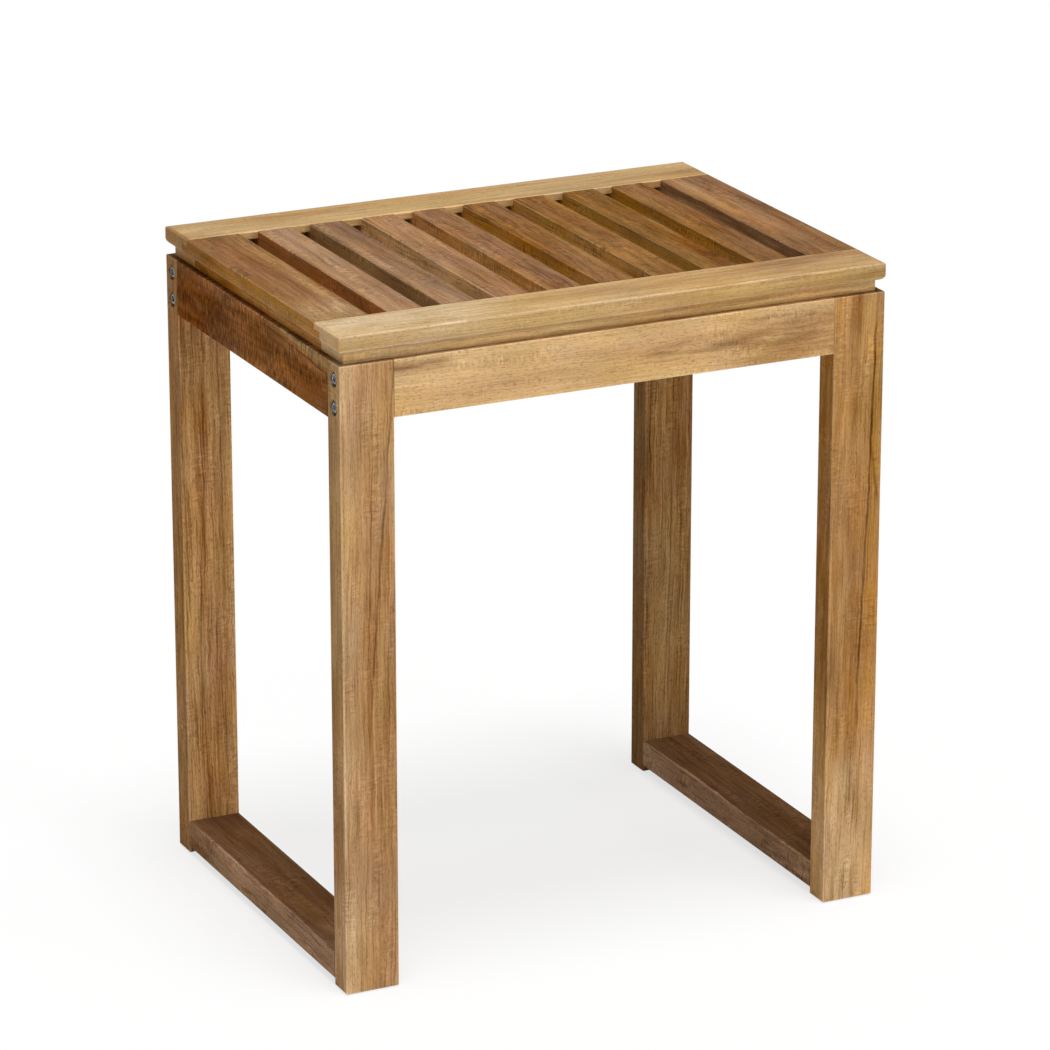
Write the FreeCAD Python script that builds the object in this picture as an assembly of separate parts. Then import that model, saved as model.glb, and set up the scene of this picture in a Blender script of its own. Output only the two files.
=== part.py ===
import FreeCAD, Part
import math
import os

from FreeCAD import Placement, Rotation, Vector

# A slatted bath stool of oiled hardwood, in millimetres.
# X runs along the seat with the left end at -X, Y from front to back with the front at -Y, and Z up.
# The origin is on the floor, under the middle of the seat.

# Seat panel
seat_height = 450.0
seat_depth = 290.0
panel_thickness = 19.5
rail_width = 39.0
edge_slat_width = 38.0
slat_count = 8
slat_width = 24.5
slat_gap = 13.5
slat_thickness = 11.0

# Tongue at each end of a slat, and the groove along the rail that takes it
tongue_thickness = 6.0
tongue_length = 8.0
tongue_clearance = 0.15

# Shadow step round the seat: a lip above, and a lower part set back from it
lip_height = 12.0
step_depth = 5.0

# Frame boards
leg_width = 38.0
leg_thickness = 19.0
apron_height = 38.5
apron_thickness = 19.0
side_apron_thickness = 19.0
stretcher_thickness = 19.0
stretcher_lift = 5.0

# Eased edges
lip_top_radius = 1.4
lip_bottom_radius = 4.0
rail_arris = 0.6
slat_arris = 1.0
board_arris = 1.0
foot_radius = 2.0

# Socket-head bolts through the legs, two above each other at each corner
bolt_diameter = 6.0
bolt_clearance = 0.25
bolt_head_diameter = 9.5
bolt_head_height = 5.0
bolt_head_clearance = 0.75
bolt_head_recess = 0.8
bolt_head_rounding = 1.5
bolt_socket_width = 5.0
bolt_socket_depth = 3.0
bolt_spacing = 19.0
bolt_pair_drop = 0.75
bolt_tip_length = 4.0
bolt_tip_chamfer = 1.0

# Barrel nuts across the long aprons
nut_diameter = 10.0
nut_cover = 2.5
nut_inset = 24.0
nut_clearance = 0.1
nut_chamfer = 0.6
nut_slot_width = 1.6
nut_slot_depth = 1.5

# Glued dowels
dowel_diameter = 6.0
dowel_length = 24.0
dowel_leg_depth = 10.0
dowel_clearance = 0.1
dowel_chamfer = 0.8
stretcher_dowel_spacing = 19.0

# Wood screws that hold the seat down on the long aprons
screw_diameter = 4.0
screw_clearance = 0.15
screw_head_diameter = 8.0
screw_head_height = 2.6
screw_head_clearance = 0.5
screw_head_rounding = 1.2
screw_recess_width = 1.2
screw_recess_length = 4.4
screw_recess_depth = 1.5
screw_grip = 20.0
screw_bite = 12.0
screw_point_length = 4.0
screw_inset = 60.0

# Room left past the end of a tongue, bolt, dowel or screw in its hole
end_room = 0.5

# Places that follow from the sizes above
seat_length = 2 * edge_slat_width + slat_count * slat_width + (slat_count + 1) * slat_gap
half_length = seat_length / 2
half_depth = seat_depth / 2
leg_height = seat_height - panel_thickness
apron_bottom = leg_height - apron_height
rail_inner = half_depth - rail_width
leg_inner_x = half_length - leg_width
leg_inner_y = half_depth - leg_thickness
groove_bottom = seat_height - slat_thickness
groove_top = groove_bottom + tongue_thickness
bolt_y = half_depth - min(leg_thickness, apron_thickness) / 2
bolt_middle_z = apron_bottom + apron_height / 2 - bolt_pair_drop
bolt_heights = (bolt_middle_z - bolt_spacing / 2, bolt_middle_z + bolt_spacing / 2)
bolt_length = leg_width - bolt_head_recess + nut_inset + nut_diameter / 2 + bolt_tip_length
nut_length = apron_thickness - 2 * nut_cover
nut_middle_y = half_depth - apron_thickness / 2
nut_x = leg_inner_x - nut_inset
screw_y = half_depth - apron_thickness / 2
screw_x = leg_inner_x - screw_inset
stretcher_x = half_length - leg_width / 2

LEFT, RIGHT = -1, 1
FRONT, BACK = -1, 1
SIDES = (LEFT, RIGHT)
FACES = (FRONT, BACK)
AXES = {"x": Vector(1, 0, 0), "y": Vector(0, 1, 0), "z": Vector(0, 0, 1)}
UP = AXES["z"]


def point_on(axis, along, u, v):
    """Point at a place along an axis, with u and v on the other two axes in X, Y, Z order."""
    if axis == "x":
        return Vector(along, u, v)
    if axis == "y":
        return Vector(u, along, v)
    return Vector(u, v, along)


def rounded_face(axis, along, corners):
    """Flat face square to an axis, from (u, v, radius) corners; a radius of 0 leaves a sharp corner."""
    spots = [point_on(axis, along, u, v) for u, v, radius in corners]
    entries = []
    exits = []
    edges = []
    for index, (u, v, radius) in enumerate(corners):
        spot = spots[index]
        back = (spots[index - 1] - spot).normalize()
        onward = (spots[(index + 1) % len(spots)] - spot).normalize()
        half_angle = back.getAngle(onward) / 2
        reach = radius / math.tan(half_angle)
        entries.append(spot + back * reach)
        exits.append(spot + onward * reach)
        if radius > 0:
            inward = (back + onward).normalize()
            crown = spot + inward * (radius / math.sin(half_angle) - radius)
            edges.append(Part.Arc(entries[-1], crown, exits[-1]).toShape())
    for index, leave in enumerate(exits):
        arrive = entries[(index + 1) % len(entries)]
        if leave.distanceToPoint(arrive) > Part.Precision.confusion():
            edges.append(Part.makeLine(leave, arrive))
    return Part.Face(Part.Wire(Part.__sortEdges__(edges)))


def prism(axis, start, end, corners):
    """Straight bar along an axis from start to end, with the given section."""
    return rounded_face(axis, start, corners).extrude(AXES[axis] * (end - start))


def rectangle(u1, v1, u2, v2, radius=0.0):
    """Corners of a rectangle with all four corners rounded alike."""
    return [(u1, v1, radius), (u2, v1, radius), (u2, v2, radius), (u1, v2, radius)]


def turned(profile):
    """Solid turned round the Z axis from (distance from the axis, height, rounding) corners."""
    return rounded_face("y", 0, profile).revolve(Vector(0, 0, 0), UP, 360)


def rod(radius, start, end, chamfer=0.0):
    """Round bar on the Z axis, with chamfered ends."""
    profile = [
        (0, start, 0),
        (radius - chamfer, start, 0),
        (radius, start + chamfer, 0),
        (radius, end - chamfer, 0),
        (radius - chamfer, end, 0),
        (0, end, 0),
    ]
    if chamfer == 0:
        profile = rectangle(0, start, radius, end)
    return turned(profile)


def set_at(shape, base, direction):
    """Copy of a shape that was made on the Z axis, moved to base and pointed along direction."""
    copy = shape.copy()
    copy.Placement = Placement(base, Rotation(UP, direction))
    return copy


def set_at_all(shape, places):
    """Copies of a shape at each (base, direction) place."""
    return [set_at(shape, base, direction) for base, direction in places]


# Fasteners, each made on the Z axis with the hole that it goes into

def bolt():
    """Socket-head bolt with the top of its head at the origin."""
    head = bolt_head_diameter / 2
    shank = bolt_diameter / 2
    end = bolt_length
    body = turned([
        (0, 0, 0),
        (head, 0, bolt_head_rounding),
        (head, bolt_head_height, 0),
        (shank, bolt_head_height, 0),
        (shank, end - bolt_tip_chamfer, 0),
        (shank - bolt_tip_chamfer, end, 0),
        (0, end, 0),
    ])
    corner_radius = bolt_socket_width / math.sqrt(3)
    socket = []
    for corner in range(6):
        turn = math.radians(60 * corner)
        socket.append((corner_radius * math.cos(turn), corner_radius * math.sin(turn), 0))
    return body.cut(prism("z", 0, bolt_socket_depth, socket))


def bolt_hole():
    """Counterbore for the bolt's head and clearance hole for its shank."""
    shank = rod(bolt_diameter / 2 + bolt_clearance, 0, bolt_length + end_room)
    head = rod(bolt_head_diameter / 2 + bolt_head_clearance, -bolt_head_recess, bolt_head_height)
    return shank.fuse(head)


def barrel_nut():
    """Barrel nut with its middle at the origin, its thread along X and a slot in its upper end."""
    reach = nut_length / 2
    barrel = rod(nut_diameter / 2, -reach, reach, nut_chamfer)
    thread = rod(bolt_diameter / 2 + nut_clearance, -nut_diameter, nut_diameter)
    half_slot = nut_slot_width / 2
    slot = prism("x", -nut_diameter, nut_diameter,
                 rectangle(-half_slot, reach - nut_slot_depth, half_slot, reach))
    return barrel.cut([set_at(thread, Vector(0, 0, 0), AXES["x"]), slot])


def barrel_nut_hole():
    """Blind hole for a barrel nut, open through the inner face of the apron."""
    return rod(nut_diameter / 2 + nut_clearance, -nut_length / 2 - nut_clearance, apron_thickness)


def dowel():
    """Dowel with the joint between its two boards at the origin and the leg below it."""
    return rod(dowel_diameter / 2, -dowel_leg_depth, dowel_length - dowel_leg_depth, dowel_chamfer)


def dowel_hole():
    """Hole for a dowel in both of its boards."""
    low = -dowel_leg_depth - end_room
    high = dowel_length - dowel_leg_depth + end_room
    return rod(dowel_diameter / 2 + dowel_clearance, low, high)


def seat_screw():
    """Pan-head wood screw with the underside of its head at the origin."""
    head = screw_head_diameter / 2
    shank = screw_diameter / 2
    tip = screw_grip + screw_bite
    body = turned([
        (0, -screw_head_height, 0),
        (head, -screw_head_height, screw_head_rounding),
        (head, 0, 0),
        (shank, 0, 0),
        (shank, tip - screw_point_length, 0),
        (0, tip, 0),
    ])
    half_width = screw_recess_width / 2
    half_span = screw_recess_length / 2
    top = -screw_head_height + screw_recess_depth
    slot = prism("z", -screw_head_height, top, rectangle(-half_span, -half_width, half_span, half_width))
    cross_slot = prism("z", -screw_head_height, top, rectangle(-half_width, -half_span, half_width, half_span))
    return body.cut([slot, cross_slot])


def seat_screw_hole():
    """Deep counterbore in the apron, and the screw's hole through the apron into the rail."""
    shank = rod(screw_diameter / 2 + screw_clearance, 0, screw_grip + screw_bite + end_room)
    head = rod(screw_head_diameter / 2 + screw_head_clearance, screw_grip - apron_height, 0)
    return shank.fuse(head)


# Places of the fasteners, as a base point and a direction

def bolt_places():
    """Each bolt goes in from the outer face of its leg, towards the middle of the stool."""
    places = []
    for side in SIDES:
        for face in FACES:
            for height in bolt_heights:
                base = Vector(side * (half_length - bolt_head_recess), face * bolt_y, height)
                places.append((base, Vector(-side, 0, 0)))
    return places


def barrel_nut_places():
    """Each barrel nut crosses the end of its bolt, with its slot on the inner face of the apron."""
    places = []
    for side in SIDES:
        for face in FACES:
            for height in bolt_heights:
                places.append((Vector(side * nut_x, face * nut_middle_y, height), Vector(0, -face, 0)))
    return places


def side_apron_dowel_places():
    """One dowel at each end of a side apron, between the two bolts of the leg."""
    x = half_length - side_apron_thickness / 2
    places = []
    for side in SIDES:
        for face in FACES:
            places.append((Vector(side * x, face * leg_inner_y, bolt_middle_z), Vector(0, -face, 0)))
    return places


def stretcher_dowel_places():
    """Two dowels side by side at each end of a stretcher."""
    height = stretcher_lift + stretcher_thickness / 2
    places = []
    for side in SIDES:
        for face in FACES:
            for offset in (-stretcher_dowel_spacing / 2, stretcher_dowel_spacing / 2):
                base = Vector(side * stretcher_x + offset, face * leg_inner_y, height)
                places.append((base, Vector(0, -face, 0)))
    return places


def seat_screw_places():
    """Three screws up through each long apron: one in the middle and one near each end."""
    places = []
    for face in FACES:
        for x in (-screw_x, 0, screw_x):
            places.append((Vector(x, face * screw_y, leg_height - screw_grip), UP))
    return places


# Boards

def leg(side, face):
    """Leg with eased edges all round, before its holes are drilled."""
    outer_x = side * half_length
    inner_x = side * leg_inner_x
    outer_y = face * half_depth
    inner_y = face * leg_inner_y
    plan = prism("z", 0, leg_height, rectangle(outer_x, outer_y, inner_x, inner_y, board_arris))
    front_view = prism("y", outer_y, inner_y, leg_outline(outer_x, inner_x))
    side_view = prism("x", outer_x, inner_x, leg_outline(outer_y, inner_y))
    return plan.common(front_view).common(side_view)


def leg_outline(outer, inner):
    """Upright outline of a leg, rounded more at the foot than at the top."""
    return [
        (outer, 0, foot_radius),
        (inner, 0, foot_radius),
        (inner, leg_height, board_arris),
        (outer, leg_height, board_arris),
    ]


def long_apron(face):
    """Apron along the front or back, flush with the outer faces of the legs."""
    section = rectangle(face * half_depth, apron_bottom, face * (half_depth - apron_thickness), leg_height,
                        board_arris)
    return prism("x", -leg_inner_x, leg_inner_x, section)


def side_apron(side):
    """Apron between the front and back leg, flush with their outer faces."""
    section = rectangle(side * half_length, apron_bottom, side * (half_length - side_apron_thickness),
                        leg_height, board_arris)
    return prism("y", -leg_inner_y, leg_inner_y, section)


def stretcher(side):
    """Flat board just above the floor, as wide as the legs that it joins."""
    section = rectangle(side * half_length, stretcher_lift, side * leg_inner_x,
                        stretcher_lift + stretcher_thickness, board_arris)
    return prism("y", -leg_inner_y, leg_inner_y, section)


def panel_outline(half_width):
    """Upright section of the whole seat panel, with its lip and the shadow step below."""
    lip_bottom = seat_height - lip_height
    under_lip = min(lip_bottom_radius, step_depth)
    right_half = [
        (half_width, seat_height, lip_top_radius),
        (half_width, lip_bottom, under_lip),
        (half_width - step_depth, lip_bottom, 0),
        (half_width - step_depth, leg_height, 0),
    ]
    left_half = [(-u, v, radius) for u, v, radius in reversed(right_half)]
    return right_half + left_half


def panel_form():
    """Outer form of the seat panel, which trims the rails and the edge slats."""
    along_seat = prism("x", -half_length, half_length, panel_outline(half_depth))
    across_seat = prism("y", -half_depth, half_depth, panel_outline(half_length))
    return along_seat.common(across_seat)


def seat_rail(face):
    """Rail along the front or back of the seat, with the groove for the slats in its inner face."""
    outer = face * half_depth
    inner = face * rail_inner
    groove_end = face * (rail_inner + tongue_length + end_room)
    section = [
        (outer, leg_height, 0),
        (outer, seat_height, 0),
        (inner, seat_height, rail_arris),
        (inner, groove_top + tongue_clearance, 0),
        (groove_end, groove_top + tongue_clearance, 0),
        (groove_end, groove_bottom, 0),
        (inner, groove_bottom, 0),
        (inner, leg_height, rail_arris),
    ]
    return prism("x", -half_length, half_length, section).common(panel_form())


def shoulders(low, high):
    """Blocks that are cut from both ends of a slat between two heights, which leaves its tongues."""
    tongue_tip = rail_inner + tongue_length
    blocks = []
    for face in FACES:
        section = rectangle(face * rail_inner, low, face * tongue_tip, high)
        blocks.append(prism("x", -half_length, half_length, section))
    return blocks


def slat_bar(start, end, bottom):
    """Bar from rail to rail with eased edges, long enough for its tongues."""
    tongue_tip = rail_inner + tongue_length
    section = rectangle(start, bottom, end, seat_height, slat_arris)
    return prism("y", -tongue_tip, tongue_tip, section)


def seat_slat(index):
    """Narrow slat, counted from the left, whose tongues are level with its underside."""
    start = -half_length + edge_slat_width + slat_gap + index * (slat_width + slat_gap)
    bar = slat_bar(start, start + slat_width, groove_bottom)
    return bar.cut(shoulders(groove_top, seat_height))


def edge_slat(side):
    """Wide slat at the end of the seat, as thick as the rails and trimmed to the panel's edge."""
    outer = side * half_length
    inner = side * (half_length - edge_slat_width)
    section = [
        (outer, leg_height, 0),
        (outer, seat_height, 0),
        (inner, seat_height, slat_arris),
        (inner, leg_height, slat_arris),
    ]
    tongue_tip = rail_inner + tongue_length
    bar = prism("y", -tongue_tip, tongue_tip, section).common(panel_form())
    return bar.cut(shoulders(groove_top, seat_height) + shoulders(leg_height, groove_bottom))


def make_pieces():
    """Every piece of the stool by its name."""
    bolt_holes = set_at_all(bolt_hole(), bolt_places())
    nut_holes = set_at_all(barrel_nut_hole(), barrel_nut_places())
    apron_dowel_holes = set_at_all(dowel_hole(), side_apron_dowel_places())
    stretcher_dowel_holes = set_at_all(dowel_hole(), stretcher_dowel_places())
    screw_holes = set_at_all(seat_screw_hole(), seat_screw_places())

    pieces = {}
    for face, face_name in ((FRONT, "front"), (BACK, "back")):
        for side, side_name in ((LEFT, "left"), (RIGHT, "right")):
            drilled = leg(side, face).cut(bolt_holes + apron_dowel_holes + stretcher_dowel_holes)
            pieces[face_name + "_" + side_name + "_leg"] = drilled
        pieces[face_name + "_apron"] = long_apron(face).cut(bolt_holes + nut_holes + screw_holes)
        pieces[face_name + "_seat_rail"] = seat_rail(face).cut(screw_holes)
    for side, side_name in ((LEFT, "left"), (RIGHT, "right")):
        pieces[side_name + "_side_apron"] = side_apron(side).cut(apron_dowel_holes)
        pieces[side_name + "_stretcher"] = stretcher(side).cut(stretcher_dowel_holes)
        pieces[side_name + "_edge_slat"] = edge_slat(side)
    for index in range(slat_count):
        pieces["seat_slat_" + str(index + 1)] = seat_slat(index)

    pieces["frame_bolts"] = Part.makeCompound(set_at_all(bolt(), bolt_places()))
    pieces["barrel_nuts"] = Part.makeCompound(set_at_all(barrel_nut(), barrel_nut_places()))
    pieces["side_apron_dowels"] = Part.makeCompound(set_at_all(dowel(), side_apron_dowel_places()))
    pieces["stretcher_dowels"] = Part.makeCompound(set_at_all(dowel(), stretcher_dowel_places()))
    pieces["seat_screws"] = Part.makeCompound(set_at_all(seat_screw(), seat_screw_places()))
    return pieces


os.makedirs("parts", exist_ok=True)
for name, shape in make_pieces().items():
    shape.exportStep("parts/" + name + ".step")
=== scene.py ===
"""Finish of a slatted bath stool: oiled acacia boards, zinc plated fasteners and a plain studio.

The file is laid out as an add-on and is run as a script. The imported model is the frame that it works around.
"""

import math
from typing import NamedTuple

import bpy
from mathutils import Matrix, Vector


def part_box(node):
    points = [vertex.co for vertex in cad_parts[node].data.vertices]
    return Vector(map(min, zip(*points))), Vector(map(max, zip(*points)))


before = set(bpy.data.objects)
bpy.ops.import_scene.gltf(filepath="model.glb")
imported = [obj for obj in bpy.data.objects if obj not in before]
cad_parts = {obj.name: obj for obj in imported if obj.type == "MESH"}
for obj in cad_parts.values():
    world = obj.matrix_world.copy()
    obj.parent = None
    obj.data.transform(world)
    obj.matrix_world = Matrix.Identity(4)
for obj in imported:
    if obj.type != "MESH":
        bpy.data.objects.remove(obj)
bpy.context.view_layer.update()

bl_info = {
    "name": "Bath stool finish",
    "version": (1, 0, 0),
    "blender": (4, 5, 0),
    "location": "3D View > Sidebar > Stool",
    "description": "Gives the bath stool its oiled acacia, its zinc plated fasteners and a studio",
    "category": "Object",
}

MM = 0.001

# Directions of a board, in the order in which a place in it is given.
ALONG, ACROSS, THROUGH = 0, 1, 2

# Sockets of a colour Mix node.
FACTOR, COLOUR_A, COLOUR_B, MIXED = 0, 6, 7, 2

# Millimetres between the places in the wood that two boards with neighbouring seeds are cut from.
SEED_STEP = Vector((611, 137, 89))

# Length and width of the long bends of the grain and of its small wiggles, and how far they push it, in mm.
GRAIN_BENDS = ((150, 30, 6), (17, 9, 2.4))

# Mean level of a noise that runs from 0 to 1.
MIDDLE_LEVEL = 0.5

# Levels of the noise between which each thing comes in, from the least of it to all of it.
LINES_SHOW = (0.5, 0.7)
PORES_SHOW = (0.6, 0.72)
STREAKS_SHOW = (0.35, 0.6)
FLECKS_SHOW = (0.4, 0.7)
BRIGHTNESS_SHOWS = (0.4, 0.6)

# Size of a ripple along the grain and across it, as a share of the spacing.
RIPPLE_LENGTH = 0.7
RIPPLE_WIDTH = 2.5

# How much the noise rises from where the ripple starts to where it is whole, and the strength it has there.
RIPPLE_RISE = 0.14
WHOLE_RIPPLE = 2

# How many times wider bands and late wood lines are along a growth layer than from one layer to the next.
BAND_SPREAD = 4
LINE_SPREAD = 3

# How many times its strength a late wood line reaches, and the share of that which is left in pale wood.
LINE_PEAK = 1.4
PALE_WOOD_LINE = 0.45

# Share of a streak that is left where it breaks.
BROKEN_STREAK = 0.35

# Cosine of the angle to the nearest face of a board, from a whole edge to none.
EDGE_FACING = (0.85, 0.995)

# Cosine of the angle to the end of a board, from no end grain to all of it.
END_FACING = (0.6, 0.9)

# Share of its colour's strength that wood keeps on a rounded edge, for sanding and partly a painted highlight.
EDGE_SATURATION = 0.88

# Least and most hue and strength of colour of the soft patches in the wood. A hue of 0.5 changes nothing.
PATCH_HUE = (0.49, 0.51)
PATCH_SATURATION = (0.88, 1.12)

# How deep pores and late wood lines lie, against the height of a ripple, and how much rougher they are.
PORE_DEPTH = 1.5
PORE_ROUGHNESS = 0.2

# Millimetres from the axis of a bolt to the side of its head.
BOLT_HEAD_RADIUS = 4.75

# Millimetres from that axis to where the painted shade and dark reflection on the rounded rim of the head
# start, and to where they are whole.
RIM_DARKENS = (2.55, 3.15)

# Roughness of zinc plate, from where it is cloudy to where it is bright.
ZINC_ROUGHNESS = (0.18, 0.3)

# Share of the floor's white that the light on it makes, so that a shadow shows. The rest is a glow.
FLOOR_SHADOW_SHARE = 0.3

# Millimetres from the feet down to the floor, so that no two faces lie in one plane.
FLOOR_GAP = 0.2

# Width of the camera's sensor, in mm.
SENSOR_WIDTH = 36


def linear(hex_colour):
    """Linear red, green and blue of an sRGB hex colour."""
    channels = [int(hex_colour[start:start + 2], 16) / 255 for start in (1, 3, 5)]
    return [c / 12.92 if c <= 0.04045 else ((c + 0.055) / 1.055) ** 2.4 for c in channels]


def opaque(hex_colour):
    """The same colour for a node, which takes it with its opacity."""
    return (*linear(hex_colour), 1)


def colour_setting(name, description, hex_colour):
    """A colour that a user can change."""
    return bpy.props.FloatVectorProperty(
        name=name, description=description, subtype="COLOR", size=3, min=0, max=1, default=linear(hex_colour)
    )


def length_setting(name, description, millimetres):
    """A length that a user can change. It is given here in millimetres and kept in metres."""
    return bpy.props.FloatProperty(
        name=name, description=description, subtype="DISTANCE", unit="LENGTH", precision=4,
        min=0.1 * MM, default=millimetres * MM
    )


def angle_setting(name, description, degrees):
    """An angle that a user can change. It is given here in degrees and kept in radians."""
    return bpy.props.FloatProperty(
        name=name, description=description, subtype="ANGLE", unit="ROTATION", default=math.radians(degrees)
    )


def share_setting(name, description, share):
    """A share that a user can change."""
    return bpy.props.FloatProperty(
        name=name, description=description, subtype="FACTOR", min=0, default=share
    )


# How the boards were cut


class Streak(NamedTuple):
    """A streak of darker heartwood or paler sapwood, or a painted shade or highlight, in millimetres from the
    middle of its board.

    It lies at a place across the board, or through it where its side says so, and its middle is a place
    along the board. It leans aside by a share of the way along. A straight one keeps to the edges of the
    board, and any other one bends with the grain.
    """

    colour: str
    at: float
    width: float
    strength: float
    middle: float = 0
    length: float = 900
    lean: float = 0
    side: int = ACROSS
    straight: bool = False


class Cut(NamedTuple):
    """What sets the figure of one board apart from the next one's.

    Its growth layers are turned in the board, and its grain leans against the edges, by so many degrees.
    """

    seed: int
    lightness: float = 1
    saturation: float = 1
    turn: float = 35
    lean: float = 0.5
    streaks: tuple = ()


class Finish(NamedTuple):
    """How strongly one kind of board shows its figure, and how it shines.

    Bands, veins and fibres swing the wood between its pale and its dark tone. Lines and pores darken it, and
    ripple and patches shade it, by a share. Curl widens the ripples, which start where a noise passes
    curl_from. End grain and edges have their lightness multiplied. On edges that stands for sanding and
    partly for a painted highlight, or for a painted shade where it is below 1.
    """

    bands: float = 1.3
    veins: float = 0.7
    fibres: float = 0.85
    lines: float = 0.28
    pores: float = 0.3
    ripple: float = 0.11
    curl: float = 1
    curl_from: float = 0.48
    patches: float = 0.12
    end_grain: float = 0.5
    edges: float = 1.22
    roughness: float = 0.6
    shine: float = 0.01


# Colours of the streaks in the wood, and of the painted shade and painted highlights laid on as streaks.
RED_HEART = "#83502A"
BROWN_HEART = "#7A4E28"
DARK_VEIN_AND_PAINTED_SHADE = "#4F2C10"
DARK_RED_AND_PAINTED_SHADE = "#6E3A16"
AMBER = "#BE8A50"
HONEY_AND_PAINTED_SHADE = "#C08947"
DULL_HONEY = "#A6793A"
RUST_HEART = "#A2682A"
ORANGE_HEART = "#BC7419"
TAN_HEART = "#C9985C"
DULL_HEART = "#9D764C"
GOLDEN_SAPWOOD_AND_PAINTED_LIGHT = "#D8AC74"
PAINTED_LIGHT_AMBER = "#D89A5A"
STRAW_SAPWOOD_AND_PAINTED_HIGHLIGHT = "#DDBB8C"
BRIGHT_SAPWOOD_AND_PAINTED_LIGHT = "#EBC288"
WHITE_SAPWOOD_AND_PAINTED_HIGHLIGHT = "#E4CBA4"
DULL_SAPWOOD = "#A5814E"
PALE_FOOT = "#D6B388"
GREY_SAPWOOD = "#C69D79"

# Colours of the dowels, of the fasteners and of the light.
RAW_BEECH = "#DDBB90"
BEECH_FLECK = "#BF9566"
CLOUDY_ZINC = "#AEB4B9"
BRIGHT_ZINC = "#ECEEEF"
# Painted shade and dark reflection on the rims of the bolt heads.
PAINTED_SHADE_ZINC = "#1F2327"
WHITE = "#FFFFFF"

FRONT_LEGS = {
    "front_left_leg": Cut(seed=1, lightness=1.12, lean=-0.4, streaks=(
        Streak(STRAW_SAPWOOD_AND_PAINTED_HIGHLIGHT, at=-13, width=18, strength=0.4, middle=-40),
        Streak(RED_HEART, at=2, width=14, strength=0.5, length=400),
        Streak(BROWN_HEART, at=9, width=22, strength=0.35, middle=-120, length=300),
        Streak(GOLDEN_SAPWOOD_AND_PAINTED_LIGHT, at=10, width=30, strength=0.55, middle=200, length=220),
        Streak(GOLDEN_SAPWOOD_AND_PAINTED_LIGHT, at=9.3, width=9, strength=0.4, middle=70, length=300, lean=0.07),
        Streak(DARK_VEIN_AND_PAINTED_SHADE, at=3.3, width=2.6, strength=0.65, middle=100, length=330, lean=0.07),
        Streak(DARK_VEIN_AND_PAINTED_SHADE, at=0.5, width=1.8, strength=0.5, middle=120, length=300, lean=0.02),
        Streak(STRAW_SAPWOOD_AND_PAINTED_HIGHLIGHT, at=3.5, width=2, strength=0.45, middle=-60, length=140),
        Streak(DULL_SAPWOOD, at=-19.5, width=5, strength=0.75, middle=100, length=400),
        Streak(PALE_FOOT, at=-14, width=34, strength=0.6, middle=-200, length=140),
        # Painted highlight along the left edges.
        Streak(STRAW_SAPWOOD_AND_PAINTED_HIGHLIGHT, at=-18.1, width=2.2, strength=1, straight=True),
    )),
    "front_right_leg": Cut(seed=2, lightness=1.07, saturation=1.08, lean=-1.2, streaks=(
        Streak(HONEY_AND_PAINTED_SHADE, at=13, width=13, strength=0.5, middle=60, length=460),
        Streak(RED_HEART, at=-1, width=20, strength=0.5, middle=80, length=560),
        Streak(BROWN_HEART, at=-19.5, width=5, strength=0.52, middle=90, length=420),
        Streak(DARK_VEIN_AND_PAINTED_SHADE, at=6.7, width=3, strength=0.9, middle=80, length=480, lean=0.033),
        Streak(DARK_VEIN_AND_PAINTED_SHADE, at=27, width=4, strength=0.5, middle=95, length=70, lean=-0.15),
        Streak(PALE_FOOT, at=-4, width=80, strength=1.2, middle=-200, length=235),
        # Painted highlight along the left edges.
        Streak(GOLDEN_SAPWOOD_AND_PAINTED_LIGHT, at=-17.9, width=2.4, strength=0.7, straight=True),
    )),
}
BACK_LEGS = {
    "back_left_leg": Cut(seed=3, lightness=1.12, saturation=1.04, lean=0.8, streaks=(
        Streak(DULL_HEART, at=-19.5, width=5, strength=1.2),
        Streak(GOLDEN_SAPWOOD_AND_PAINTED_LIGHT, at=-12, width=15, strength=0.45, middle=-40, length=420),
        Streak(BROWN_HEART, at=10, width=18, strength=0.45, middle=40, length=480),
        Streak(DARK_VEIN_AND_PAINTED_SHADE, at=-5, width=2.2, strength=0.6, middle=-30, length=300, lean=0.02),
        Streak(DARK_VEIN_AND_PAINTED_SHADE, at=11, width=2, strength=0.6, middle=70, length=240, lean=-0.015),
        # Painted highlight along the left edges.
        Streak(GOLDEN_SAPWOOD_AND_PAINTED_LIGHT, at=-17.9, width=2.2, strength=0.7, straight=True),
    )),
    "back_right_leg": Cut(seed=4, lightness=0.64, saturation=1.06, lean=-0.8, streaks=(
        Streak(DULL_HEART, at=-19.5, width=5, strength=1.2),
        Streak(RED_HEART, at=4, width=40, strength=0.4, middle=90, length=220),
        Streak(GOLDEN_SAPWOOD_AND_PAINTED_LIGHT, at=-6, width=44, strength=0.5, middle=-120, length=260),
        Streak(DARK_VEIN_AND_PAINTED_SHADE, at=2, width=2.4, strength=0.6, middle=20, length=340, lean=0.02),
        # Painted highlight along the left edges.
        Streak(GOLDEN_SAPWOOD_AND_PAINTED_LIGHT, at=-17.9, width=2.2, strength=0.6, straight=True),
    )),
}
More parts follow.
